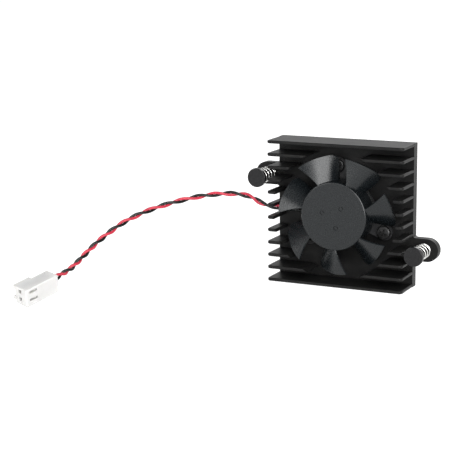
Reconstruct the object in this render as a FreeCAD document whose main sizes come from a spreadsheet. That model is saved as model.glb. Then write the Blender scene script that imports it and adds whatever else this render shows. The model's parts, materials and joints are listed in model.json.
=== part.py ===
import FreeCAD, Part
import math
import os

# Fan-cooled heatsink for a small circuit board: a finned plate with a fan sunk into its fins, two sprung
# push pins on ears at its sides, and a twisted two-wire lead with a two-way connector.
#
# Every sub-part is modelled with +X to the right, +Y up and +Z out of the chip contact face, through the
# fan. STAND then turns that frame so that +Z is up and the fan faces -Y. The origin is the centre of the
# chip contact face. Lengths are in millimetres and angles in degrees.

Vector = FreeCAD.Vector
Rotation = FreeCAD.Rotation
Placement = FreeCAD.Placement
AXIS = Vector(0, 0, 1)
STAND = Placement(Vector(0, 0, 0), Rotation(Vector(1, 0, 0), 90))

SIZES = {
    # heatsink
    "plate_side": 45.0,
    "plate_thick": 3.0,
    "cooler_depth": 13.0,
    "fin_thick": 1.0,
    "fin_count": 12,
    "fin_corner": 1.2,
    "fin_ease": 0.35,
    "pocket_radius": 20.4,
    "ear_radius": 3.6,
    "ear_centre": 27.0,
    "ear_setback": 0.4,
    "ear_fillet": 0.9,
    "pin_x": 26.0,
    "pin_y": 10.4,
    "pin_hole_radius": 1.58,
    # motor base, its bearing and its screws
    "base_thick": 1.0,
    "base_radius": 10.4,
    "arm_width": 5.0,
    "screw_circle": 14.6,
    "screw_first_angle": -22.5,
    "screw_thread_radius": 1.2,
    "screw_head_radius": 2.2,
    "screw_head_height": 1.3,
    "screw_length": 3.4,
    "tube_radius": 2.6,
    "tube_top": 10.6,
    "bearing_radius": 2.0,
    "bearing_bottom": 5.4,
    "bearing_length": 5.0,
    "bearing_gap": 0.02,
    "washer_thick": 0.3,
    # stator and driver board
    "core_bottom": 7.2,
    "core_height": 2.8,
    "core_radius": 7.9,
    "neck_width": 2.0,
    "cap_thick": 0.45,
    "cap_width": 2.4,
    "coil_turns_depth": 0.78,
    "board_thick": 0.8,
    "board_radius": 9.8,
    # rotor
    "hub_radius": 10.75,
    "hub_bottom": 5.9,
    "hub_wall": 0.75,
    "hub_face": 1.0,
    "hub_edge": 0.5,
    "yoke_wall": 0.5,
    "magnet_inner": 8.2,
    "magnet_height": 5.0,
    "shaft_radius": 0.75,
    "bush_radius": 2.4,
    "bush_length": 1.2,
    "blade_count": 7,
    "blade_tip_radius": 18.5,
    "blade_corner": 2.2,
    "blade_first_angle": 25.9,
    "blade_front": 12.7,
    "blade_back": 6.4,
    "pip_circle": 3.7,
    # push pins and springs
    "head_radius": 3.05,
    "head_thick": 1.5,
    "head_front": 13.1,
    "head_edge": 0.3,
    "collar_radius": 2.55,
    "collar_thick": 0.8,
    "shank_radius": 1.5,
    "barb_radius": 1.95,
    "barb_length": 5.2,
    "barb_gap": 0.1,
    "barb_slot": 0.8,
    "spring_radius": 2.15,
    "spring_wire": 0.5,
    "spring_turns": 5.0,
    "spring_end_turns": 1.0,
    # lead
    "wire_radius": 0.45,
    "lead_level": 5.27,
    # connector
    "housing_length": 12.7,
    "housing_height": 5.7,
    "housing_thick": 4.9,
    "contact_pitch": 2.54,
    "way_shift": 0.4,
    "way_level": 2.15,
}

# The route of the free lead, from where it leaves the fins to the connector's rear face.
LEAD_ROUTE = [
    (-22.5, 0.0, 5.27),
    (-26.5, 0.0, 5.27),
    (-32.2, 3.8, 6.5),
    (-42.2, 4.0, 11.4),
    (-53.3, 1.7, 20.6),
    (-61.5, -1.7, 31.4),
    (-66.6, -7.1, 41.5),
    (-69.3, -12.6, 50.0),
    (-70.2, -14.8, 54.1),
    (-72.1, -16.2, 60.5),
]

doc = FreeCAD.newDocument("Cooler")
sheet = doc.addObject("Spreadsheet::Sheet", "Sizes")
for row, (alias, value) in enumerate(SIZES.items(), start=1):
    sheet.set("A%d" % row, alias)
    sheet.set("B%d" % row, str(value))
    sheet.setAlias("B%d" % row, alias)
doc.recompute()

subparts = []


def size(alias):
    """The value of a driving dimension in the sheet."""
    return float(sheet.get(alias))


def bind(thing, **formulas):
    """Bind properties to formulas; X, Y and Z are the object's position."""
    for name, formula in formulas.items():
        target = "Placement.Base." + name.lower() if name in "XYZ" else name
        thing.setExpression(target, formula)
    return thing


def part(kind, name, **formulas):
    """A Part primitive with its sizes bound to formulas."""
    return bind(doc.addObject("Part::" + kind, name), **formulas)


def fuse(name, shapes):
    """A union of document objects."""
    union = doc.addObject("Part::MultiFuse", name)
    union.Shapes = shapes
    union.Refine = True
    return union


def cut(name, base, tool):
    """A document object with another one cut out of it."""
    result = doc.addObject("Part::Cut", name)
    result.Base = base
    result.Tool = tool
    result.Refine = True
    return result


def turned(thing, angle):
    """Turn a primitive about the fan axis, keeping its own position before the turn."""
    doc.recompute()
    thing.setExpression("Placement.Base.x", None)
    thing.setExpression("Placement.Base.y", None)
    thing.setExpression("Placement.Base.z", None)
    thing.Placement = Placement(Vector(0, 0, 0), Rotation(AXIS, angle)) * thing.Placement
    return thing


def subpart(thing, label, place=None):
    """Name a finished piece and stand it up."""
    doc.recompute()
    thing.Label = label
    thing.Placement = STAND * (place or Placement())
    subparts.append(thing)
    return thing


def shaped(shape, label, place=None):
    """A finished piece whose shape was made with Part's own functions."""
    feature = doc.addObject("Part::Feature", "Shape_" + label)
    feature.Shape = shape
    return subpart(feature, label, place)


def ring(name, outer, inner, bottom, height):
    """A tube about the fan axis."""
    outside = part("Cylinder", name + "Outside", Radius=outer, Height=height, Z=bottom)
    inside = part("Cylinder", name + "Inside", Radius=inner, Height=height, Z=bottom)
    return cut(name, outside, inside)


def cross(name, length, width, bottom, height):
    """Two bars across the fan axis, at right angles."""
    across = part("Box", name + "Across", Length=length, Width=width, Height=height,
                  X="-(%s) / 2" % length, Y="-(%s) / 2" % width, Z=bottom)
    upright = part("Box", name + "Upright", Length=width, Width=length, Height=height,
                   X="-(%s) / 2" % width, Y="-(%s) / 2" % length, Z=bottom)
    return fuse(name, [across, upright])


# ---------------------------------------------------------------- heatsink

def make_heatsink():
    """The plate with its fins, the round fan pocket, the two ears and their holes, and the screw holes."""
    pieces = [make_plate()]
    for number in range(int(size("fin_count"))):
        pieces.append(make_fin(number))
    tools = [part("Cylinder", "FanPocket", Radius="Sizes.pocket_radius", Height="Sizes.cooler_depth",
                  Z="Sizes.plate_thick")]
    for number in range(3):
        tools.append(make_screw_hole(number))
    heatsink = cut("Heatsink", fuse("PlateAndFins", pieces), fuse("HeatsinkSpaces", tools))
    return subpart(heatsink, "heatsink")


def make_plate():
    """The square plate and its two ears, as one body."""
    body = doc.addObject("PartDesign::Body", "PlateBody")
    plate = body.newObject("PartDesign::AdditiveBox", "Plate")
    bind(plate, Length="Sizes.plate_side", Width="Sizes.plate_side", Height="Sizes.plate_thick",
         X="-Sizes.plate_side / 2", Y="-Sizes.plate_side / 2")
    for side in (1, -1):
        add_ear(body, side)
    return body


def make_fin(number):
    """One fin: its two front corners rounded off, then its front and end edges eased."""
    name = "Fin%d" % number
    step = "(Sizes.plate_side - Sizes.fin_thick) / (Sizes.fin_count - 1)"
    blank = part("Box", name + "Blank", Length="Sizes.plate_side", Width="Sizes.fin_thick",
                 Height="Sizes.cooler_depth", X="-Sizes.plate_side / 2",
                 Y="-Sizes.plate_side / 2 + %d * %s" % (number, step))
    doc.recompute()
    front = size("cooler_depth")
    corners = [i for i, edge in enumerate(blank.Shape.Edges, start=1)
               if edge.BoundBox.ZMin > front - 1e-6 and edge.BoundBox.XLength < 1e-6]
    rounded = filleted(name + "Rounded", blank, corners, "fin_corner")
    eased = [i for i, edge in enumerate(rounded.Shape.Edges, start=1)
             if edge.BoundBox.YLength < 1e-6 and edge.BoundBox.ZMax > 1e-6]
    return filleted(name, rounded, eased, "fin_ease")


def filleted(name, base, edges, alias):
    """A document object with some of its edges, given by number, rounded to a radius in the sheet."""
    result = doc.addObject("Part::Fillet", name)
    result.Base = base
    result.Edges = [(number, size(alias), size(alias)) for number in edges]
    doc.recompute()
    return result


def add_ear(body, side):
    """One round-ended ear with its pin hole. The left ear is the right one turned half round."""
    name = "Right" if side > 0 else "Left"
    x = "%d * Sizes.pin_x" % side
    y = "%d * Sizes.pin_y" % -side
    back = "Sizes.ear_setback"
    thick = "Sizes.plate_thick - Sizes.ear_setback"
    web = body.newObject("PartDesign::AdditiveBox", name + "EarWeb")
    start = "-Sizes.ear_centre" if side < 0 else "Sizes.plate_side / 4"
    bind(web, Length="Sizes.ear_centre - Sizes.plate_side / 4", Width="2 * Sizes.ear_radius",
         Height=thick, X=start, Y=y + " - Sizes.ear_radius", Z=back)
    end = body.newObject("PartDesign::AdditiveCylinder", name + "EarEnd")
    bind(end, Radius="Sizes.ear_radius", Height=thick, X="%d * Sizes.ear_centre" % side, Y=y, Z=back)
    doc.recompute()
    roots = body.newObject("PartDesign::Fillet", name + "EarRoots")
    roots.Base = (end, ear_root_edges(end.Shape, side))
    bind(roots, Radius="Sizes.ear_fillet")
    body.Tip = roots
    hole = body.newObject("PartDesign::SubtractiveCylinder", name + "PinHole")
    bind(hole, Radius="Sizes.pin_hole_radius", Height="Sizes.plate_thick", X=x, Y=y)
    doc.recompute()


def ear_root_edges(shape, side):
    """The names of the two inner corners where an ear leaves the plate's side."""
    edge_x = side * size("plate_side") / 2
    wanted = [-side * size("pin_y") + step for step in (-size("ear_radius"), size("ear_radius"))]
    names = []
    for number, edge in enumerate(shape.Edges, start=1):
        box = edge.BoundBox
        upright = box.XLength < 1e-6 and box.YLength < 1e-6
        short = box.ZMax < size("plate_thick") + 1e-6
        at_side = abs(box.XMin - edge_x) < 1e-6
        if upright and short and at_side and min(abs(box.YMin - y) for y in wanted) < 1e-6:
            names.append("Edge%d" % number)
    return names


def make_screw_hole(number):
    """One of the three tapped holes under the motor base."""
    angle = "(Sizes.screw_first_angle + %d) * 1 deg" % (number * 120)
    return part("Cylinder", "ScrewHole%d" % number, Radius="Sizes.screw_thread_radius",
                Height="Sizes.screw_length", X="Sizes.screw_circle * cos(%s)" % angle,
                Y="Sizes.screw_circle * sin(%s)" % angle,
                Z="Sizes.plate_thick + Sizes.base_thick - Sizes.screw_length")


# ---------------------------------------------------------------- motor base, bearing and screws

def make_motor_base():
    """The moulded disc with three screw arms and the tube that carries the bearing."""
    pieces = [part("Cylinder", "BaseDisc", Radius="Sizes.base_radius", Height="Sizes.base_thick",
                   Z="Sizes.plate_thick")]
    pieces.append(part("Cylinder", "BaseTube", Radius="Sizes.tube_radius", Z="Sizes.plate_thick",
                       Height="Sizes.tube_top - Sizes.plate_thick"))
    holes = [part("Cylinder", "BaseBore", Radius="Sizes.bearing_radius", Height="Sizes.tube_top",
                  Z="Sizes.plate_thick + Sizes.base_thick")]
    for number in range(3):
        angle = size("screw_first_angle") + 120 * number
        arm = part("Box", "Arm%d" % number, Length="Sizes.screw_circle", Width="Sizes.arm_width",
                   Height="Sizes.base_thick", Y="-Sizes.arm_width / 2", Z="Sizes.plate_thick")
        tip = part("Cylinder", "ArmTip%d" % number, Radius="Sizes.arm_width / 2",
                   Height="Sizes.base_thick", X="Sizes.screw_circle", Z="Sizes.plate_thick")
        hole = part("Cylinder", "ArmHole%d" % number, Radius="Sizes.screw_thread_radius",
                    Height="Sizes.base_thick", X="Sizes.screw_circle", Z="Sizes.plate_thick")
        pieces += [turned(arm, angle), turned(tip, angle)]
        holes.append(turned(hole, angle))
    base = cut("MotorBase", fuse("BaseSolid", pieces), fuse("BaseHoles", holes))
    return subpart(base, "motor_base")


def screw_shape():
    """One pan-head screw with a cross recess, its head standing on the XY plane."""
    head_radius = size("screw_head_radius")
    head_height = size("screw_head_height")
    recess_depth = 0.7
    recess_width = 0.5
    recess_length = 2.5
    head = Part.makeCylinder(head_radius, head_height)
    head = head.makeFillet(0.35 * head_height, [edge_at(head, head_height)])
    length = size("screw_length")
    thread = Part.makeCylinder(size("screw_thread_radius") - 0.03, length, Vector(0, 0, -length))
    screw = head.fuse(thread)
    for dx, dy in ((recess_length, recess_width), (recess_width, recess_length)):
        corner = Vector(-dx / 2, -dy / 2, head_height - recess_depth)
        screw = screw.cut(Part.makeBox(dx, dy, recess_depth, corner))
    return screw.removeSplitter()


def edge_at(shape, level):
    """The first edge that lies wholly at one level."""
    for edge in shape.Edges:
        box = edge.BoundBox
        if abs(box.ZMin - level) < 1e-6 and abs(box.ZMax - level) < 1e-6:
            return edge
    raise ValueError("no edge at level %s" % level)


def make_motor_screws():
    """The three screws, as one group of separate solids."""
    level = size("plate_thick") + size("base_thick")
    solids = []
    for number in range(3):
        angle = size("screw_first_angle") + 120 * number
        screw = screw_shape()
        screw.translate(Vector(size("screw_circle"), 0, level))
        screw.rotate(Vector(0, 0, 0), AXIS, angle)
        solids.append(screw)
    return shaped(Part.makeCompound(solids), "motor_screws")


def make_bearing():
    """The sintered sleeve and the washer that the shaft's end runs on."""
    sleeve = ring("Sleeve", "Sizes.bearing_radius", "Sizes.shaft_radius + Sizes.bearing_gap",
                  "Sizes.bearing_bottom", "Sizes.bearing_length")
    subpart(sleeve, "sleeve_bearing")
    washer = part("Cylinder", "Washer", Radius="Sizes.bearing_radius - 0.1", Height="Sizes.washer_thick")
    place = Placement(Vector(0, 0, size("plate_thick") + size("base_thick")), Rotation())
    subpart(washer, "thrust_washer", place)


# ---------------------------------------------------------------- stator and driver board

def make_stator_core():
    """A four-pole laminated core: a ring, four necks and four pole tips with gaps between them."""
    bottom = "Sizes.core_bottom"
    height = "Sizes.core_height"
    rim = ring("PoleRim", "Sizes.core_radius", "Sizes.core_radius - 0.9", bottom, height)
    gaps = cross("PoleGaps", "2 * Sizes.core_radius + 1", "2.6", bottom, height)
    turned(gaps, 45)
    tips = cut("PoleTips", rim, gaps)
    middle = part("Cylinder", "CoreRing", Radius="Sizes.tube_radius + 1.3", Height=height, Z=bottom)
    necks = cross("Necks", "2 * Sizes.core_radius - 1", "Sizes.neck_width", bottom, height)
    bore = part("Cylinder", "CoreBore", Radius="Sizes.tube_radius", Height=height, Z=bottom)
    return subpart(cut("Core", fuse("CoreSolid", [tips, middle, necks]), bore), "stator_core")


def make_insulator(label, bottom, flange_bottom):
    """A moulded end cap that keeps the windings off the core, with a low wall at each pole."""
    name = label.replace("_", "")
    thick = "Sizes.cap_thick"
    arms = cross(name + "Arms", "14", "Sizes.cap_width", bottom, thick)
    middle = part("Cylinder", name + "Middle", Radius="Sizes.tube_radius + 1.5", Height=thick, Z=bottom)
    wall = ring(name + "Wall", "7.0", "6.55", flange_bottom, "0.8")
    wings = cross(name + "Wings", "16", "4.6", flange_bottom, "0.8")
    walls = doc.addObject("Part::Common", name + "Walls")
    walls.Base = wall
    walls.Tool = wings
    bore = part("Cylinder", name + "Bore", Radius="Sizes.tube_radius", Height=thick, Z=bottom)
    cap = cut(name + "Cap", fuse(name + "Solid", [arms, middle, walls]), bore)
    return subpart(cap, label)


def coil_shape():
    """One winding round a neck: a block with rounded corners and the neck's opening through it."""
    depth = size("coil_turns_depth")
    inner_start = 4.4
    inner_end = 6.2
    gap = 0.02
    wide = size("cap_width") / 2 + gap
    high = size("core_height") / 2 + size("cap_thick") + gap
    length = inner_end - inner_start
    centre = size("core_bottom") + size("core_height") / 2
    corner = Vector(inner_start, -wide - depth, centre - high - depth)
    block = Part.makeBox(length, 2 * (wide + depth), 2 * (high + depth), corner)
    along = [edge for edge in block.Edges if abs(edge.tangentAt(0).x) > 0.99]
    block = block.makeFillet(0.8 * depth, along)
    opening = Part.makeBox(length, 2 * wide, 2 * high, Vector(inner_start, -wide, centre - high))
    return block.cut(opening)


def make_windings():
    """Four windings, as one group of separate solids."""
    coils = []
    for number in range(4):
        coil = coil_shape()
        coil.rotate(Vector(0, 0, 0), AXIS, 90 * number)
        coils.append(coil)
    return shaped(Part.makeCompound(coils), "stator_windings")


def make_driver_board():
    """The ring-shaped board under the stator, and the parts that stand on it."""
    bottom = "Sizes.plate_thick + Sizes.base_thick"
    top = bottom + " + Sizes.board_thick"
    board = ring("Board", "Sizes.board_radius", "Sizes.tube_radius + 0.05", bottom, "Sizes.board_thick")
    subpart(board, "driver_board")

    chip = part("Box", "Chip", Length="3", Width="1.5", Height="0.85", X="-1.5", Y="7.3", Z=top + " + 0.1")
    legs = []
    for x in (-1.2, -0.15, 0.9):
        legs.append(part("Box", "Leg%d" % len(legs), Length="0.3", Width="2.5", Height="0.15",
                         X=str(x), Y="6.8", Z=top))
    subpart(fuse("HallDriver", [chip] + legs), "hall_driver_ic")

    capacitor = part("Box", "Capacitor", Length="2.0", Width="1.2", Height="0.8", X="4.6", Y="-5.6", Z=top)
    fix_level(capacitor, "board_capacitor")
    resistor = part("Box", "Resistor", Length="1.6", Width="0.8", Height="0.5", X="4.8", Y="4.6", Z=top)
    fix_level(resistor, "board_resistor")


def fix_level(block, label):
    """Make a bound primitive a sub-part: its position joins the standing placement."""
    doc.recompute()
    place = block.Placement
    for axis in "xyz":
        block.setExpression("Placement.Base." + axis, None)
    return subpart(block, label, place)


# ---------------------------------------------------------------- rotor

def blade_section(radius, front_angle, back_angle):
    """A thin cambered outline in the plane X = radius, from the blade's front edge to its back edge."""
    mid_thick = 0.9
    edge_thick = 0.5
    camber = 0.075
    front = Vector(radius, radius * math.tan(math.radians(front_angle)), size("blade_front"))
    back = Vector(radius, radius * math.tan(math.radians(back_angle)), size("blade_back"))
    chord = back - front
    normal = Vector(1, 0, 0).cross(chord).normalize()
    if normal.z < 0:
        normal = -normal
    middle = (front + back) * 0.5 + normal * camber * chord.Length
    edge_step = normal * (edge_thick / 2)
    mid_step = normal * (mid_thick / 2)
    upper = Part.Arc(front + edge_step, middle + mid_step, back + edge_step).toShape()
    lower = Part.Arc(back - edge_step, middle - mid_step, front - edge_step).toShape()
    back_edge = Part.LineSegment(back + edge_step, back - edge_step).toShape()
    front_edge = Part.LineSegment(front - edge_step, front + edge_step).toShape()
    return Part.Wire([upper, back_edge, lower, front_edge])


def blade_shape():
    """One blade about the +X direction, from inside the hub wall to the tip circle."""
    inner = size("hub_radius") - 2.4
    outer = size("blade_tip_radius") + 1.5
    stations = 4
    sections = []
    for step in range(stations):
        along = step / (stations - 1)
        radius = inner + along * (outer - inner)
        front_angle = 4.8 + 17.0 * along
        back_angle = -22.0 + 6.1 * along
        sections.append(blade_section(radius, front_angle, back_angle))
    blade = Part.makeLoft(sections, True)
    root = size("hub_radius") - 0.4 * size("hub_wall")
    limit = blade_outline().extrude(Vector(0, 0, size("cooler_depth")))
    limit = limit.cut(Part.makeCylinder(root, size("cooler_depth")))
    return blade.common(limit)


def blade_outline():
    """What a blade's front view may fill: the tip circle, rounded off towards the blade's back edge."""
    tip = size("blade_tip_radius")
    corner = size("blade_corner")
    back_angle = -19.2
    front_angle = 40.0
    round_angle = back_angle + math.degrees(math.asin(corner / (tip - corner)))
    reach = math.sqrt((tip - corner) ** 2 - corner ** 2)
    start = on_circle(tip, front_angle)
    touch = on_circle(tip, round_angle)
    centre = on_circle(tip - corner, round_angle)
    outward = on_circle(corner, (round_angle + back_angle - 90) / 2)
    side = on_circle(reach, back_angle)
    middle = Vector(0, 0, 0)
    edges = [Part.Arc(start, on_circle(tip, (front_angle + round_angle) / 2), touch).toShape(),
             Part.Arc(touch, centre + outward, side).toShape(),
             Part.LineSegment(side, middle).toShape(),
             Part.LineSegment(middle, start).toShape()]
    return Part.Face(Part.Wire(edges))


def on_circle(radius, angle):
    """A point on a circle about the fan axis."""
    return Vector(radius * math.cos(math.radians(angle)), radius * math.sin(math.radians(angle)), 0)


def hub_shape():
    """The cap: a cup with a rounded front edge and three moulding dimples, each with a pip."""
    bottom = size("hub_bottom")
    top = size("cooler_depth")
    radius = size("hub_radius")
    cap = Part.makeCylinder(radius, top - bottom, Vector(0, 0, bottom))
    cap = cap.makeFillet(size("hub_edge"), [edge_at(cap, top)])
    hollow_height = top - size("hub_face") - bottom
    cap = cap.cut(Part.makeCylinder(radius - size("hub_wall"), hollow_height, Vector(0, 0, bottom)))
    dimple_depth = 0.25
    for number in range(3):
        spot = on_circle(size("pip_circle"), 45 + 120 * number) + Vector(0, 0, top - dimple_depth)
        cap = cap.cut(Part.makeCylinder(0.8, dimple_depth, spot))
        cap = cap.fuse(Part.makeCylinder(0.42, dimple_depth, spot))
    return cap


def make_impeller():
    """The hub cap and its blades, moulded as one piece."""
    shape = hub_shape()
    blade = blade_shape()
    # the front corner of a tip stands 17.5 degrees ahead of its blade's middle
    tip_lead = 17.5
    count = int(size("blade_count"))
    blades = []
    for number in range(count):
        turn = size("blade_first_angle") - tip_lead + number * 360.0 / count
        copy = blade.copy()
        copy.rotate(Vector(0, 0, 0), AXIS, turn)
        blades.append(copy)
    return shaped(shape.multiFuse(blades).removeSplitter(), "impeller")


def make_rotor_parts():
    """The steel cup, the ring magnet, the shaft, its bush and its retaining ring."""
    inner = "Sizes.hub_radius - Sizes.hub_wall"
    ceiling = "Sizes.cooler_depth - Sizes.hub_face"
    height = ceiling + " - Sizes.hub_bottom - 0.1"
    outside = part("Cylinder", "YokeOutside", Radius=inner, Height=height, Z="Sizes.hub_bottom + 0.1")
    hollow = part("Cylinder", "YokeHollow", Radius=inner + " - Sizes.yoke_wall",
                  Height=height + " - Sizes.yoke_wall", Z="Sizes.hub_bottom + 0.1")
    hole = part("Cylinder", "YokeHole", Radius="Sizes.bush_radius", Height="Sizes.cooler_depth")
    subpart(cut("Yoke", outside, fuse("YokeSpaces", [hollow, hole])), "rotor_yoke")

    magnet = ring("Magnet", inner + " - Sizes.yoke_wall", "Sizes.magnet_inner", "Sizes.hub_bottom + 0.2",
                  "Sizes.magnet_height")
    subpart(magnet, "ring_magnet")

    bush = ring("Bush", "Sizes.bush_radius", "Sizes.shaft_radius", ceiling + " - Sizes.bush_length",
                "Sizes.bush_length")
    subpart(bush, "shaft_bush")

    washer_top = "Sizes.plate_thick + Sizes.base_thick + Sizes.washer_thick"
    rod = part("Cylinder", "Rod", Radius="Sizes.shaft_radius", Z=washer_top + " + 0.02",
               Height=ceiling + " - (%s + 0.02)" % washer_top)
    groove = ring("Groove", "Sizes.shaft_radius + 0.5", "Sizes.shaft_radius - 0.2",
                  washer_top + " + 0.5", "0.3")
    subpart(cut("Shaft", rod, groove), "rotor_shaft")

    retainer = ring("Retainer", "Sizes.bearing_radius - 0.3", "Sizes.shaft_radius - 0.2",
                    washer_top + " + 0.52", "0.26")
    subpart(retainer, "shaft_retainer")


# ---------------------------------------------------------------- push pins and springs

def pin_place(side):
    """Where a pin's own axis stands on the heatsink: 1 is right and -1 is left."""
    return Placement(Vector(side * size("pin_x"), -side * size("pin_y"), 0), Rotation())


def make_push_pin(side, label):
    """A moulded pin: a flat head and collar, a shank, and a split barbed tip behind the ear."""
    name = "Right" if side > 0 else "Left"
    underside = "Sizes.head_front - Sizes.head_thick"
    head = part("Cylinder", name + "Head", Radius="Sizes.head_radius", Height="Sizes.head_thick",
                Z=underside)
    doc.recompute()
    rims = [i for i, edge in enumerate(head.Shape.Edges, start=1) if edge.BoundBox.ZLength < 1e-6]
    rounded = filleted(name + "HeadRounded", head, rims, "head_edge")
    collar = part("Cylinder", name + "Collar", Radius="Sizes.collar_radius",
                  Height="Sizes.collar_thick", Z=underside + " - Sizes.collar_thick")
    shank = part("Cylinder", name + "Shank", Radius="Sizes.shank_radius",
                 Height="Sizes.barb_gap + " + underside, Z="-Sizes.barb_gap")
    barb = part("Cone", name + "Barb", Radius1="0.55 * Sizes.barb_radius",
                Radius2="Sizes.barb_radius", Height="Sizes.barb_length",
                Z="-Sizes.barb_gap - Sizes.barb_length")
    slot = part("Box", name + "Slot", Length="4 * Sizes.barb_radius", Width="Sizes.barb_slot",
                Height="Sizes.barb_length + Sizes.plate_thick", X="-2 * Sizes.barb_radius",
                Y="-Sizes.barb_slot / 2", Z="-Sizes.barb_gap - Sizes.barb_length")
    pin = cut(name + "Pin", fuse(name + "PinSolid", [rounded, collar, shank, barb]), slot)
    return subpart(pin, label, pin_place(side))


def spring_line(low, high):
    """The middle of a spring's wire: closed coils at both ends and open ones between them."""
    radius = size("spring_radius")
    turns = size("spring_turns")
    end_turns = size("spring_end_turns")
    closed_pitch = size("spring_wire") + 0.06
    open_pitch = (high - low - 2 * end_turns * closed_pitch) / (turns - 2 * end_turns)
    steps_a_turn = 12
    points = []
    level = low
    for step in range(int(turns * steps_a_turn) + 1):
        turn = step / steps_a_turn
        points.append(on_circle(radius, 360 * turn) + Vector(0, 0, level))
        at_end = turn < end_turns or turn >= turns - end_turns
        level += (closed_pitch if at_end else open_pitch) / steps_a_turn
    line = Part.BSplineCurve()
    line.interpolate(points)
    return line.toShape()


def spring_shape():
    """A compression spring from the ear's face to the pin's collar."""
    wire = size("spring_wire")
    clear = 0.02
    low = size("plate_thick") + wire / 2 + clear
    high = size("head_front") - size("head_thick") - size("collar_thick") - wire / 2 - clear
    line = spring_line(low, high)
    start = line.valueAt(line.FirstParameter)
    section = Part.Wire([Part.makeCircle(wire / 2, start, line.tangentAt(line.FirstParameter))])
    return Part.Wire([line]).makePipeShell([section], True, True)


# ---------------------------------------------------------------- lead and connector

def make_inner_leads():
    """The two wires from the board to the edge of the fins, and the solder that holds them."""
    radius = size("wire_radius")
    level = size("lead_level")
    spread = radius + 0.01
    strip_end = -6.4
    strip_start = -7.6
    edge = -size("plate_side") / 2
    board_top = size("plate_thick") + size("base_thick") + size("board_thick")
    joints = []
    for colour, y in (("red", spread), ("black", -spread)):
        sleeve = Part.makeCylinder(radius, strip_start - edge, Vector(edge, y, level), Vector(1, 0, 0))
        core = Part.makeCylinder(0.25, strip_end - strip_start, Vector(strip_start, y, level),
                                 Vector(1, 0, 0))
        shaped(sleeve.fuse(core), "inner_lead_" + colour)
        blob = Part.makeCone(0.44, 0.3, level + 0.35 - board_top, Vector(strip_end - 0.4, y, board_top))
        joints.append(blob)
    shaped(Part.makeCompound(joints), "solder_joints")


def bend(before, corner, after):
    """Where the arc at a corner starts, passes and ends, and its radius."""
    into = corner - before
    out = after - corner
    tangent = 0.45 * min(into.Length, out.Length)
    into.normalize()
    out.normalize()
    half_turn = into.getAngle(out) / 2
    radius = tangent / math.tan(half_turn)
    towards_centre = (out - into).normalize()
    dip = radius / math.cos(half_turn) - radius
    return corner - into * tangent, corner + towards_centre * dip, corner + out * tangent, radius


def lead_path():
    """Straight runs joined by arcs that touch them, and the arcs' radii."""
    points = [Vector(*point) for point in LEAD_ROUTE]
    edges = []
    radii = []
    here = points[0]
    for before, corner, after in zip(points, points[1:], points[2:]):
        start, middle, end, radius = bend(before, corner, after)
        edges.append(Part.LineSegment(here, start).toShape())
        edges.append(Part.Arc(start, middle, end).toShape())
        radii.append(radius)
        here = end
    edges.append(Part.LineSegment(here, points[-1]).toShape())
    return Part.Wire(edges), radii


def make_lead_cord():
    """The free twisted pair, as a plain tube round both wires."""
    path, radii = lead_path()
    radius = 2 * size("wire_radius")
    first = Vector(*LEAD_ROUTE[0])
    heading = Vector(*LEAD_ROUTE[1]) - first
    section = Part.Wire([Part.makeCircle(radius, first, heading)])
    tube = path.makePipeShell([section], True, False)
    ideal = math.pi * radius ** 2 * path.Length
    print("lead: length %.2f, volume over section x length %.4f" % (path.Length, tube.Volume / ideal))
    print("lead radii:", ", ".join("%.1f" % value for value in radii))
    return shaped(tube, "lead_cord")


def plug_place():
    """The connector's own frame: X from its mating face to its rear, Y across its two ways."""
    along = Vector(0.285, 0.207, -0.936).normalize()
    across = Vector(0.101, 0.965, 0.244)
    sideways = along.cross(across).normalize()
    across = sideways.cross(along)
    turn = Rotation(along, across, sideways, "XYZ")
    rear = Vector(*LEAD_ROUTE[-1])
    middle = Vector(size("housing_length"), size("way_shift"), size("way_level"))
    return Placement(rear - turn.multVec(middle), turn)


def make_housing():
    """The moulded two-way housing: a box with two ribs, two contact cavities and two windows."""
    length = size("housing_length")
    height = size("housing_height")
    thick = size("housing_thick")
    pitch = size("contact_pitch")
    shape = Part.makeBox(length, height, thick, Vector(0, -height / 2, 0))
    edge_round = 0.25
    shape = shape.makeFillet(edge_round, shape.Edges)
    rib_length = 0.52 * length
    rib_height = 1.4
    rib_thick = 0.9
    lower_rib = -1.9
    for y in (lower_rib, height / 2 - edge_round - rib_thick):
        rib = Part.makeBox(rib_length - edge_round, rib_thick, rib_height + edge_round,
                           Vector(edge_round, y, -rib_height))
        shape = shape.fuse(rib)
    front_wall = 1.0
    pin_opening = 1.3
    cavity = 2.0
    for side in (-1, 1):
        y = size("way_shift") + side * pitch / 2
        middle = size("way_level")
        shape = shape.cut(box_about(front_wall, pin_opening, pin_opening, 0, y, middle))
        shape = shape.cut(box_about(length - front_wall, cavity, 2.5, front_wall, y, middle))
        shape = shape.cut(Part.makeBox(2.9, 0.8, thick - middle, Vector(1.4, y - 0.4, middle)))
    return shaped(shape.removeSplitter(), "connector_housing", plug_place())


def box_about(length, width, height, start, y, z):
    """A box that starts at a length and is centred across."""
    return Part.makeBox(length, width, height, Vector(start, y - width / 2, z - height / 2))


def locking_tang(y, level):
    """The springy tab that rises from a contact into its window and holds it there."""
    width = 0.6
    outline = [(1.7, level - 0.2), (1.9, level - 0.2), (4.0, level + 1.3), (4.0, level + 1.5), (3.8, level + 1.5)]
    corners = [Vector(x, y - width / 2, z) for x, z in outline]
    wire = Part.makePolygon(corners + corners[:1])
    return Part.Face(wire).extrude(Vector(0, width, 0))


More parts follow.
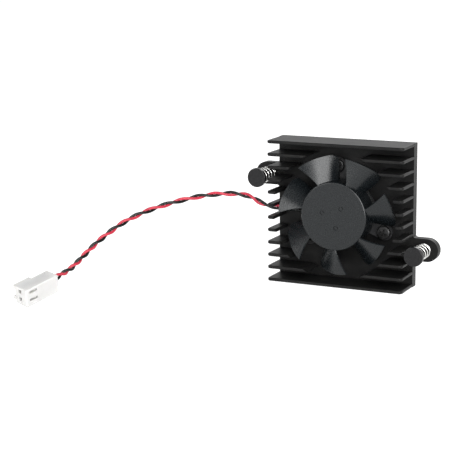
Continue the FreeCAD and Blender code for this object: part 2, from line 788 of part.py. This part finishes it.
def make_terminals():
    """Two crimped contacts: a box that takes the mating pin, a neck and a barrel round the wire."""
    middle = size("way_level")
    solids = []
    for side in (-1, 1):
        y = size("way_shift") + side * size("contact_pitch") / 2
        contact = box_about(5.0, 1.7, 1.7, 1.2, y, middle)
        contact = contact.cut(box_about(5.0, 1.3, 1.3, 1.2, y, middle))
        neck = Part.makeBox(2.0, 1.0, 0.2, Vector(6.2, y - 0.5, middle - 0.85))
        barrel = Part.makeCylinder(0.75, 3.0, Vector(8.0, y, middle), Vector(1, 0, 0))
        barrel = barrel.cut(Part.makeCylinder(0.5, 3.0, Vector(8.0, y, middle), Vector(1, 0, 0)))
        strap = Part.makeBox(0.6, 0.6, 0.35, Vector(7.9, y - 0.3, middle - 0.85))
        link = Part.makeBox(0.4, 1.3, 0.2, Vector(6.0, y - 0.65, middle - 0.85))
        tang = locking_tang(y, middle + 0.8)
        solids.append(contact.multiFuse([neck, strap, barrel, link, tang]).removeSplitter())
    return shaped(Part.makeCompound(solids), "crimp_terminals", plug_place())


# ---------------------------------------------------------------- build, check and write

def build():
    """Make every sub-part."""
    make_heatsink()
    make_motor_base()
    make_motor_screws()
    make_bearing()
    make_stator_core()
    make_insulator("stator_insulator_front", "Sizes.core_bottom + Sizes.core_height",
                   "Sizes.core_bottom + Sizes.core_height")
    make_insulator("stator_insulator_rear", "Sizes.core_bottom - Sizes.cap_thick",
                   "Sizes.core_bottom - 0.8")
    make_windings()
    make_driver_board()
    make_impeller()
    make_rotor_parts()
    for side, word in ((1, "right"), (-1, "left")):
        make_push_pin(side, "push_pin_" + word)
        shaped(spring_shape(), "spring_" + word, pin_place(side))
    make_inner_leads()
    make_lead_cord()
    make_housing()
    make_terminals()
    doc.recompute()


def check_and_write():
    """Stop on any failed object or bad shape, then write one file for each sub-part."""
    for thing in doc.Objects:
        if "Invalid" in thing.State or "Error" in thing.State:
            raise RuntimeError("%s failed: %s" % (thing.Label, thing.State))
    for thing in subparts:
        if thing.Shape.isNull() or not thing.Shape.isValid() or thing.Shape.Volume <= 0:
            raise RuntimeError("%s has a bad shape" % thing.Label)
    os.makedirs("parts", exist_ok=True)
    for thing in subparts:
        box = thing.Shape.BoundBox
        print("%-24s %9.3f mm3  solids %d  z %.2f..%.2f" % (
            thing.Label, thing.Shape.Volume, len(thing.Shape.Solids), box.ZMin, box.ZMax))
        thing.Shape.exportStep("parts/%s.step" % thing.Label)


build()
check_and_write()
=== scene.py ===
import bpy
import json
import math
import numpy as np
from mathutils import Matrix, Vector


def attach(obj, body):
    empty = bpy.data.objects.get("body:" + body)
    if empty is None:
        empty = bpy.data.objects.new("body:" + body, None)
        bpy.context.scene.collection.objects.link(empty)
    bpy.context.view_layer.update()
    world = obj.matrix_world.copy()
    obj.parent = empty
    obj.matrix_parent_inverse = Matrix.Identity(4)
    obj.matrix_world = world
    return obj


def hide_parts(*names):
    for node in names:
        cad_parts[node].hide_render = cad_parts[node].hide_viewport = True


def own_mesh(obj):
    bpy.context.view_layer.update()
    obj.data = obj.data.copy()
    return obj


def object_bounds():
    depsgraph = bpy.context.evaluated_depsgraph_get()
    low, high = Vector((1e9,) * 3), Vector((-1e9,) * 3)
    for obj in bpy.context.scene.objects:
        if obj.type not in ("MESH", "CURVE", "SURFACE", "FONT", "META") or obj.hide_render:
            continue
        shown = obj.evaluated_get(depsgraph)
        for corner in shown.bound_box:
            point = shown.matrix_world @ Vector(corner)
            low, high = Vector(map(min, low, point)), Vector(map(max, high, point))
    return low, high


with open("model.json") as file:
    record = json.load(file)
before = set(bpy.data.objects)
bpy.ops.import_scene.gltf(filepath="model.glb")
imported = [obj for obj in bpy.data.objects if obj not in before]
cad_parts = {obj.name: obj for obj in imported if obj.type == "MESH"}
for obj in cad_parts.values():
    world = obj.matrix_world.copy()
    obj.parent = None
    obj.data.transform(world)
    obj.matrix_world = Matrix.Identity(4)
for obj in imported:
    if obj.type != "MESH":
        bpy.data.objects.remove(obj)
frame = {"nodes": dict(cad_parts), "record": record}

# A fan-cooled heatsink that stands on its lowest fin, its fan facing -Y, with a free two-wire lead
# that ends in a white two-way connector. Blender's lengths are in metres. Points and levels that go
# through stood() are in millimetres, in the frame that the part is built in.

cad_low, cad_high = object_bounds()
MM = 0.001
nodes = frame["nodes"]


# ---------------------------------------------------------------- helpers

def new_object(name, data):
    """Link a mesh, curve, camera or light as an object at the origin."""
    thing = bpy.data.objects.new(name, data)
    bpy.context.scene.collection.objects.link(thing)
    return thing


def mesh_object(name, vertices, faces):
    """A smooth-shaded object from vertex and face lists."""
    mesh = bpy.data.meshes.new(name)
    mesh.from_pydata([tuple(v) for v in vertices], [], faces)
    mesh.validate()
    mesh.polygons.foreach_set("use_smooth", [True] * len(mesh.polygons))
    return new_object(name, mesh)


def stood(x, y, z):
    """A build-frame point (mm: +X right, +Y up, +Z out of the fan) as a Blender point (m)."""
    return Vector((x, -z, y)) * MM


# ---------------------------------------------------------------- camera, light and floor

def make_camera():
    """The viewing angle from the right and a little above."""
    place = (0.16013, -0.40617, 0.08575)
    camera = bpy.data.cameras.new("Camera")
    camera.sensor_width = 36.0
    camera.lens = 111.8
    camera.clip_start = 0.01
    camera.clip_end = 50
    thing = new_object("Camera", camera)
    back = Vector((0.43846, -0.87526, 0.20416)).normalized()
    up = Vector((-0.08004, 0.18823, 0.97886))
    right = up.cross(back).normalized()
    up = back.cross(right)
    turn = Matrix((right, up, back)).transposed().to_4x4()
    thing.matrix_world = Matrix.Translation(place) @ turn
    bpy.context.scene.camera = thing


def area_light(name, place, size, power):
    """A soft square light aimed at the origin, which lies behind the fan's hub."""
    light = bpy.data.lights.new(name, "AREA")
    light.shape = "SQUARE"
    light.size = size
    light.energy = power
    thing = new_object(name, light)
    thing.location = place
    thing.rotation_mode = "QUATERNION"
    thing.rotation_quaternion = (-Vector(place)).to_track_quat("-Z", "Y")


def make_world():
    """White surroundings up to just over the horizon, which fade to dim ones higher up."""
    white_up_to = math.radians(6)
    dim_from = math.radians(13)
    white_strength = 1.1
    dim_strength = 0.2
    world = bpy.data.worlds.new("World")
    world.use_nodes = True
    tree = world.node_tree
    background = tree.nodes["Background"]
    background.inputs["Color"].default_value = (1, 1, 1, 1)
    direction = tree.nodes.new("ShaderNodeTexCoord")
    parts = tree.nodes.new("ShaderNodeSeparateXYZ")
    fade = tree.nodes.new("ShaderNodeMapRange")
    fade.inputs["From Min"].default_value = math.sin(white_up_to)
    fade.inputs["From Max"].default_value = math.sin(dim_from)
    fade.inputs["To Min"].default_value = white_strength
    fade.inputs["To Max"].default_value = dim_strength
    tree.links.new(direction.outputs["Generated"], parts.inputs[0])
    tree.links.new(parts.outputs["Z"], fade.inputs["Value"])
    tree.links.new(fade.outputs[0], background.inputs["Strength"])
    bpy.context.scene.world = world


def make_studio():
    """The surroundings, three softboxes in front from right to left, one behind, and the floor."""
    make_world()
    bpy.context.scene.view_settings.view_transform = "Standard"
    area_light("RightKey", place=(0.52, -0.60, 0.28), size=0.62, power=11)
    area_light("FrontKey", place=(0.10, -0.72, 0.55), size=0.5, power=3)
    area_light("LeftKey", place=(-0.5, -0.6, 0.3), size=0.4, power=3)
    area_light("BackRim", place=(0.1, 0.6, 0.5), size=0.5, power=3)
    make_floor()


def make_floor():
    """A large white floor, lit from inside like a light table, that curves up far behind."""
    level = cad_low.z - 0.1 * MM
    half_width = 8.0
    near = -8.0
    bend_start = 2.5
    bend_radius = 0.6
    wall_top = 2.5
    bend_steps = 12
    profile = [(near, 0.0), (bend_start, 0.0)]
    for step in range(1, bend_steps + 1):
        angle = math.radians(90) * step / bend_steps
        y = bend_start + bend_radius * math.sin(angle)
        z = bend_radius * (1 - math.cos(angle))
        profile.append((y, z))
    profile.append((bend_start + bend_radius, wall_top))
    vertices = []
    for y, z in profile:
        vertices.append((-half_width, y, level + z))
        vertices.append((half_width, y, level + z))
    faces = [(2 * i, 2 * i + 1, 2 * i + 3, 2 * i + 2) for i in range(len(profile) - 1)]
    floor = mesh_object("Floor", vertices, faces)
    floor.data.materials.append(floor_white())


def floor_white():
    """A matt grey that gives off enough light of its own to look white."""
    material = bpy.data.materials.new("FloorWhite")
    material.use_nodes = True
    shader = material.node_tree.nodes["Principled BSDF"]
    shader.inputs["Base Color"].default_value = (0.35, 0.35, 0.35, 1)
    shader.inputs["Roughness"].default_value = 0.9
    shader.inputs["Emission Color"].default_value = (1, 1, 1, 1)
    shader.inputs["Emission Strength"].default_value = 0.84
    return material


# ---------------------------------------------------------------- lead

# The control points of the lead's middle line, from the fins to the connector, in the build frame.
LEAD_ROUTE = [
    (-22.5, 0.0, 5.27),
    (-26.5, 0.0, 5.27),
    (-32.2, 3.8, 6.5),
    (-42.2, 4.0, 11.4),
    (-53.3, 1.7, 20.6),
    (-61.5, -1.7, 31.4),
    (-66.6, -7.1, 41.5),
    (-69.3, -12.6, 50.0),
    (-70.2, -14.8, 54.1),
    (-72.1, -16.2, 60.5),
]
LINE_STEP = 0.35 * MM
WIRE_RADIUS = 0.45 * MM
STRAND_OFFSET = WIRE_RADIUS * 1.03
# The turn of the pair, in radians, as sums of powers of the distance from the fins in mm. The first
# holds near the fins, the second along the rest.
EXIT_TWIST = (-2 * math.pi, 0.552)
LEAD_TWIST = (-7.324, 0.7606, -6.2177e-3, 6.7588e-5)
# The wires part over this many mm before the connector, and enter its ways two half pitches apart.
SPLIT_LENGTH = 3.0
HALF_PITCH = 1.27 * MM
CRIMP_DEPTH = 2.4 * MM
# Dark and light tones of the two insulations.
RED = ((0.30, 0.016, 0.032), (0.41, 0.032, 0.054))
BLACK = ((0.0025, 0.0032, 0.0030), (0.0060, 0.0075, 0.0070))


def lead_centreline():
    """Points along the smooth line that the lead's route controls."""
    curve = bpy.data.curves.new("LeadLine", "CURVE")
    curve.dimensions = "3D"
    spline = curve.splines.new("NURBS")
    spline.points.add(len(LEAD_ROUTE) - 1)
    for point, place in zip(spline.points, LEAD_ROUTE):
        point.co = (*stood(*place), 1.0)
    spline.order_u = 3
    spline.use_endpoint_u = True
    spline.resolution_u = 24
    thing = new_object("LeadLine", curve)
    mesh = bpy.data.meshes.new_from_object(thing)
    points = [vertex.co.copy() for vertex in mesh.vertices]
    bpy.data.objects.remove(thing)
    return points


def frames_along(points):
    """Three directions at each point: along the line, and two across it that do not twist."""
    tangents = []
    for i in range(len(points)):
        ahead = points[min(i + 1, len(points) - 1)]
        behind = points[max(i - 1, 0)]
        tangents.append((ahead - behind).normalized())
    side = Vector((0, 0, 1))
    frames = []
    for tangent in tangents:
        side = (side - tangent * side.dot(tangent)).normalized()
        frames.append((tangent, side, tangent.cross(side)))
    return frames


def tube_mesh(points, radius, around):
    """The vertices and faces of a round wire along points, with flat ends."""
    vertices = []
    faces = []
    frames = frames_along(points)
    for point, (tangent, side, other) in zip(points, frames):
        for k in range(around):
            angle = 2 * math.pi * k / around
            vertices.append(point + radius * (math.cos(angle) * side + math.sin(angle) * other))
    for i in range(len(points) - 1):
        for k in range(around):
            a = i * around + k
            b = i * around + (k + 1) % around
            faces.append((a, b, b + around, a + around))
    faces.append(tuple(reversed(range(around))))
    last = (len(points) - 1) * around
    faces.append(tuple(last + k for k in range(around)))
    return vertices, faces


def resampled(points, step):
    """The same line with evenly spaced points, their distances along it, and its length."""
    places = np.array([tuple(p) for p in points])
    lengths = np.r_[0, np.cumsum(np.linalg.norm(np.diff(places, axis=0), axis=1))]
    count = max(2, int(round(lengths[-1] / step)) + 1)
    wanted = np.linspace(0, lengths[-1], count)
    columns = [np.interp(wanted, lengths, places[:, axis]) for axis in range(3)]
    return [Vector(p) for p in zip(*columns)], wanted, float(lengths[-1])


def twist_angle(distance):
    """How far the red wire has turned at a distance in mm, tightest at the connector."""
    angles = [
        sum(term * distance ** power for power, term in enumerate(terms))
        for terms in (EXIT_TWIST, LEAD_TWIST)
    ]
    return max(angles)


def strand_points(line, distances, total, sign):
    """One wire of the pair, which parts from the other to enter its own way of the connector."""
    along, across = connector_axes()
    points = []
    for point, distance, (tangent, side, other) in zip(line, distances, frames_along(line)):
        angle = twist_angle(distance / MM)
        twisted = STRAND_OFFSET * (math.cos(angle) * side + math.sin(angle) * other)
        parted = min(1.0, max(0.0, 1 - (total - distance) / MM / SPLIT_LENGTH))
        parted = parted * parted * (3 - 2 * parted)
        points.append(point + sign * twisted.lerp(HALF_PITCH * across, parted))
    way = line[-1] + sign * HALF_PITCH * across
    crimp_steps = 6
    for step in range(1, crimp_steps + 1):
        points.append(way - along * CRIMP_DEPTH * step / crimp_steps)
    return points


def make_lead():
    """The twisted red and black wires, joined as one piece with two materials, and their line."""
    line, distances, total = resampled(lead_centreline(), LINE_STEP)
    vertices = []
    faces = []
    owners = []
    for strand, sign in enumerate((1, -1)):
        wire_line = strand_points(line, distances, total, sign)
        wire_vertices, wire_faces = tube_mesh(wire_line, WIRE_RADIUS, around=14)
        start = len(vertices)
        vertices += wire_vertices
        faces += [tuple(start + i for i in face) for face in wire_faces]
        owners += [strand] * len(wire_faces)
    lead = mesh_object("TwistedLead", vertices, faces)
    lead.data.materials.append(vinyl("RedVinyl", *RED))
    lead.data.materials.append(vinyl("BlackVinyl", *BLACK))
    lead.data.polygons.foreach_set("material_index", owners)
    return lead, line


def connector_axes():
    """The connector's directions: from its mating face to its rear, and from way to way."""
    along = stood(0.285, 0.207, -0.936).normalized()
    across = stood(0.101, 0.965, 0.244)
    sideways = along.cross(across).normalized()
    return along, sideways.cross(along)


# ---------------------------------------------------------------- springs

SPRING_RADIUS = 2.15 * MM
SPRING_WIRE = 0.5 * MM
SPRING_TURNS = 5
# Build-frame levels in mm: the middle of the wire at each end.
SPRING_LOW = 3.27
SPRING_HIGH = 10.53
# How far the two pins stand from the fan's axis, in mm: the right one is low, the left one high.
PIN_ASIDE = 26.0
PIN_RISE = 10.4


def spring_centreline(axis_x, axis_y):
    """The middle of a spring's wire: a closed coil at each end and open ones between them."""
    closed_pitch = 0.56
    open_pitch = (SPRING_HIGH - SPRING_LOW - 2 * closed_pitch) / (SPRING_TURNS - 2)
    steps_a_turn = 28
    points = []
    level = SPRING_LOW
    for step in range(SPRING_TURNS * steps_a_turn + 1):
        turn = step / steps_a_turn
        angle = 2 * math.pi * turn
        centre = stood(axis_x, axis_y, level)
        points.append(centre + SPRING_RADIUS * Vector((math.cos(angle), 0, math.sin(angle))))
        at_end = turn < 1 or turn >= SPRING_TURNS - 1
        level += (closed_pitch if at_end else open_pitch) / steps_a_turn
    return points


def make_spring(word, axis_x, axis_y):
    """A bright compression spring that rides on the cooler."""
    line = spring_centreline(axis_x, axis_y)
    vertices, faces = tube_mesh(line, SPRING_WIRE / 2, around=12)
    spring = mesh_object("Spring_" + word, vertices, faces)
    spring.data.materials.append(finishes["spring_steel"])
    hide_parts("spring_" + word)
    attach(spring, "cooler")
    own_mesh(spring)


# ---------------------------------------------------------------- materials

# Most of a noise's values lie between these two.
NOISE_LOW = 0.3
NOISE_HIGH = 0.7


class Look:
    """A principled material whose colour, roughness and relief come from procedural nodes."""

    def __init__(self, name, **constants):
        self.material = bpy.data.materials.new(name)
        self.material.use_nodes = True
        self.tree = self.material.node_tree
        self.shader = self.tree.nodes["Principled BSDF"]
        for socket, value in constants.items():
            self.shader.inputs[socket.replace("_", " ")].default_value = value
        self.place = self.node("ShaderNodeTexCoord").outputs["Object"]

    def node(self, kind, **settings):
        """A node with some of its properties set."""
        made = self.tree.nodes.new(kind)
        for key, value in settings.items():
            setattr(made, key, value)
        return made

    def join(self, value, socket):
        """Feed a socket from another socket or from a constant."""
        if isinstance(value, bpy.types.NodeSocket):
            self.tree.links.new(value, socket)
        else:
            socket.default_value = value

    def math(self, operation, *terms):
        """One sum on one, two or three values."""
        made = self.node("ShaderNodeMath", operation=operation)
        for term, socket in zip(terms, made.inputs):
            self.join(term, socket)
        return made.outputs[0]

    def round_the_axis(self):
        """Coordinates that run round the fan's axis, outward from it, and along it."""
        mid_radius = 12 * MM
        parts = self.node("ShaderNodeSeparateXYZ")
        self.join(self.place, parts.inputs[0])
        x, y, z = parts.outputs
        square = self.math("ADD", self.math("MULTIPLY", x, x), self.math("MULTIPLY", z, z))
        joined = self.node("ShaderNodeCombineXYZ")
        self.join(self.math("MULTIPLY", self.math("ARCTAN2", z, x), mid_radius), joined.inputs[0])
        self.join(self.math("SQRT", square), joined.inputs[1])
        self.join(y, joined.inputs[2])
        return joined.outputs[0]

    def noise(self, size_mm, stretch=(1, 1, 1), detail=4.0, place=None):
        """Noise with features of about a size, stretched along some axes."""
        mapping = self.node("ShaderNodeMapping")
        self.join(place or self.place, mapping.inputs["Vector"])
        mapping.inputs["Scale"].default_value = tuple(1 / s for s in stretch)
        made = self.node("ShaderNodeTexNoise")
        self.join(mapping.outputs[0], made.inputs["Vector"])
        made.inputs["Scale"].default_value = 1 / (size_mm * MM)
        made.inputs["Detail"].default_value = detail
        return made.outputs["Fac"]

    def bands(self, pitch_mm, place):
        """Even bands, from 0 to 1, across the second axis of some coordinates."""
        parts = self.node("ShaderNodeSeparateXYZ")
        self.join(place, parts.inputs[0])
        turned = self.math("MULTIPLY", parts.outputs[1], 2 * math.pi / (pitch_mm * MM))
        return self.math("MULTIPLY_ADD", self.math("SINE", turned), 0.5, 0.5)

    def colour(self, value, dark, light, start=NOISE_LOW, end=NOISE_HIGH):
        """Base colour from dark to light as a value rises from start to end."""
        ramp = self.node("ShaderNodeValToRGB")
        self.join(value, ramp.inputs["Fac"])
        ramp.color_ramp.elements[0].position = start
        ramp.color_ramp.elements[1].position = end
        ramp.color_ramp.elements[0].color = (*dark, 1)
        ramp.color_ramp.elements[1].color = (*light, 1)
        self.join(ramp.outputs["Color"], self.shader.inputs["Base Color"])

    def rough(self, value, low, high):
        """Roughness from low to high across a noise's usual range."""
        spread = self.node("ShaderNodeMapRange")
        self.join(value, spread.inputs["Value"])
        spread.inputs["From Min"].default_value = NOISE_LOW
        spread.inputs["From Max"].default_value = NOISE_HIGH
        spread.inputs["To Min"].default_value = low
        spread.inputs["To Max"].default_value = high
        self.join(spread.outputs[0], self.shader.inputs["Roughness"])

    def relief(self, value, height_mm):
        """Surface relief on top of what is there already."""
        bump = self.node("ShaderNodeBump")
        bump.inputs["Strength"].default_value = 1.0
        bump.inputs["Distance"].default_value = height_mm * MM
        self.join(value, bump.inputs["Height"])
        normal = self.shader.inputs["Normal"]
        if normal.is_linked:
            self.join(normal.links[0].from_socket, bump.inputs["Normal"])
        self.join(bump.outputs["Normal"], normal)


def anodised_aluminium():
    """Black anodising over drawn aluminium: fine lines along X and a faint mottle."""
    look = Look("BlackAnodised", IOR=1.23)
    lines = look.noise(0.25, stretch=(40, 1, 1), detail=5)
    mottle = look.noise(3.0, detail=6)
    look.colour(mottle, (0.0040, 0.0040, 0.0043), (0.0080, 0.0079, 0.0075))
    look.rough(lines, 0.36, 0.50)
    look.relief(lines, 0.012)
    look.relief(look.noise(0.12, detail=3), 0.005)
    return look.material


def fan_moulding():
    """Dark grey glass-filled plastic: faint moulding rings and a fine grain."""
    look = Look("FanPlastic", IOR=1.40)
    round_axis = look.round_the_axis()
    streaks = look.noise(0.35, stretch=(12, 1, 6), detail=4, place=round_axis)
    grain = look.noise(0.4, detail=6)
    look.colour(streaks, (0.0022, 0.0032, 0.0040), (0.0050, 0.0064, 0.0072))
    look.rough(grain, 0.21, 0.34)
    look.relief(streaks, 0.034)
    look.relief(grain, 0.017)
    return look.material


def plain(name, dark, light, patch_mm, roughness, grain_mm, relief_mm, **constants):
    """A finish with soft patches of tone and a fine grain."""
    look = Look(name, **constants)
    patches = look.noise(patch_mm, detail=5)
    grain = look.noise(grain_mm, detail=4)
    look.colour(patches, dark, light)
    look.rough(grain, *roughness)
    look.relief(grain, relief_mm)
    return look.material


def vinyl(name, dark, light):
    """Soft extruded insulation with a slight sheen."""
    return plain(name, dark, light, patch_mm=1.2, roughness=(0.20, 0.32), grain_mm=0.25,
                 relief_mm=0.012, IOR=1.30)


def turned_metal(name, dark, light, roughness):
    """Metal turned on a lathe, with rings round the fan's axis."""
    look = Look(name, Metallic=1.0)
    rings = look.noise(0.12, stretch=(60, 1, 1), detail=4, place=look.round_the_axis())
    look.colour(look.noise(1.5), dark, light)
    look.rough(rings, *roughness)
    look.relief(rings, 0.006)
    return look.material


def laminated_steel():
    """A stack of thin punched sheets."""
    look = Look("CoreSteel", Metallic=1.0)
    look.colour(look.noise(0.8), (0.22, 0.22, 0.23), (0.42, 0.42, 0.43))
    look.rough(look.noise(0.3), 0.35, 0.55)
    look.relief(look.bands(0.35, look.place), 0.03)
    return look.material


def wound_copper():
    """Enamelled wire laid in even rounds, its colour painted darker in the grooves between them as
    shade.
    """
    look = Look("EnamelledCopper", Metallic=0.85, Coat_Weight=0.6, Coat_Roughness=0.15)
    turns_and_groove_shade = look.bands(0.22, look.round_the_axis())
    # Painted shade: the colour is darker where the winding's relief dips between the wires.
    look.colour(turns_and_groove_shade, (0.30, 0.085, 0.025), (0.72, 0.30, 0.13), start=0.1, end=0.9)
    look.rough(look.noise(0.3), 0.22, 0.36)
    look.relief(turns_and_groove_shade, 0.06)
    return look.material


def circuit_board():
    """Green solder mask over faint tracks."""
    look = Look("GreenBoard", Coat_Weight=0.5, Coat_Roughness=0.2)
    cells = look.node("ShaderNodeTexBrick")
    look.join(look.place, cells.inputs["Vector"])
    cells.inputs["Scale"].default_value = 1 / (3.0 * MM)
    cells.inputs["Mortar Size"].default_value = 0.05
    look.colour(cells.outputs["Fac"], (0.010, 0.095, 0.035), (0.030, 0.190, 0.075),
                start=0.2, end=0.8)
    look.rough(look.noise(0.5), 0.30, 0.45)
    look.relief(cells.outputs["Fac"], 0.02)
    return look.material


finishes = {
    "black_anodised": anodised_aluminium(),
    "black_moulding": plain(
        "BlackMoulding", (0.010, 0.010, 0.011), (0.022, 0.022, 0.023),
        patch_mm=2.0, roughness=(0.42, 0.58), grain_mm=0.15, relief_mm=0.012),
    "black_screw": plain(
        "BlackScrew", (0.020, 0.020, 0.021), (0.050, 0.050, 0.050),
        patch_mm=0.8, roughness=(0.25, 0.42), grain_mm=0.12, relief_mm=0.006, Metallic=0.8),
    "bronze": plain(
        "SinteredBronze", (0.33, 0.19, 0.08), (0.60, 0.39, 0.19),
        patch_mm=0.25, roughness=(0.35, 0.60), grain_mm=0.10, relief_mm=0.010, Metallic=1.0),
    "natural_nylon": plain(
        "NaturalNylon", (0.66, 0.64, 0.56), (0.80, 0.78, 0.70),
        patch_mm=1.0, roughness=(0.38, 0.50), grain_mm=0.2, relief_mm=0.008,
        Subsurface_Weight=0.2),
    "core_steel": laminated_steel(),
    "insulator_moulding": plain(
        "InsulatorMoulding", (0.55, 0.52, 0.46), (0.70, 0.67, 0.60),
        patch_mm=1.5, roughness=(0.40, 0.55), grain_mm=0.2, relief_mm=0.010),
    "enamelled_copper": wound_copper(),
    "green_board": circuit_board(),
    "chip_moulding": plain(
        "ChipMoulding", (0.012, 0.012, 0.012), (0.030, 0.030, 0.030),
        patch_mm=0.3, roughness=(0.55, 0.70), grain_mm=0.06, relief_mm=0.006),
    "ceramic_chip": plain(
        "CeramicChip", (0.36, 0.24, 0.14), (0.52, 0.38, 0.25),
        patch_mm=0.5, roughness=(0.30, 0.42), grain_mm=0.1, relief_mm=0.004),
    "fan_plastic": fan_moulding(),
    "yoke_steel": turned_metal(
        "YokeSteel", (0.38, 0.38, 0.38), (0.55, 0.55, 0.54), roughness=(0.26, 0.42)),
    "ferrite": plain(
        "Ferrite", (0.045, 0.040, 0.040), (0.085, 0.078, 0.076),
        patch_mm=0.6, roughness=(0.55, 0.72), grain_mm=0.1, relief_mm=0.010),
    "brass": turned_metal(
        "TurnedBrass", (0.58, 0.40, 0.14), (0.75, 0.57, 0.27), roughness=(0.20, 0.34)),
    "shaft_steel": turned_metal(
        "GroundSteel", (0.60, 0.60, 0.61), (0.75, 0.75, 0.76), roughness=(0.10, 0.20)),
    "pin_nylon": plain(
        "PinNylon", (0.0035, 0.0035, 0.0040), (0.0070, 0.0070, 0.0075),
        patch_mm=1.0, roughness=(0.16, 0.26), grain_mm=0.3, relief_mm=0.010, IOR=1.32),
    "spring_steel": plain(
        "SpringSteel", (0.48, 0.48, 0.47), (0.70, 0.70, 0.68),
        patch_mm=0.6, roughness=(0.14, 0.26), grain_mm=0.15, relief_mm=0.006, Metallic=1.0),
    "red_insulation": vinyl("RedInnerVinyl", *RED),
    "black_insulation": vinyl("BlackInnerVinyl", *BLACK),
    "solder": plain(
        "Solder", (0.45, 0.45, 0.46), (0.72, 0.72, 0.72),
        patch_mm=0.4, roughness=(0.20, 0.40), grain_mm=0.15, relief_mm=0.015, Metallic=1.0),
    "white_nylon": plain(
        "WhiteNylon", (0.435, 0.432, 0.425), (0.470, 0.467, 0.460),
        patch_mm=3.0, roughness=(0.34, 0.46), grain_mm=0.3, relief_mm=0.010,
        Subsurface_Weight=0.5, Subsurface_Radius=(1.0, 0.95, 0.90), Subsurface_Scale=0.002),
    "tin_plate": plain(
        "TinPlate", (0.52, 0.51, 0.49), (0.74, 0.73, 0.70),
        patch_mm=0.7, roughness=(0.22, 0.38), grain_mm=0.12, relief_mm=0.008, Metallic=1.0),
}


def dress_cad():
    """Give every CAD node the finish of its slot."""
    for entry in frame["record"]["subparts"]:
        mesh = nodes[entry["node"]].data
        mesh.materials.clear()
        mesh.materials.append(finishes[entry["material_slot"]])


# ---------------------------------------------------------------- the scene

make_camera()
lead, lead_line = make_lead()
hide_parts("lead_cord")
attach(lead, "cooler")
make_studio()
dress_cad()
make_spring("right", PIN_ASIDE, -PIN_RISE)
make_spring("left", -PIN_ASIDE, PIN_RISE)
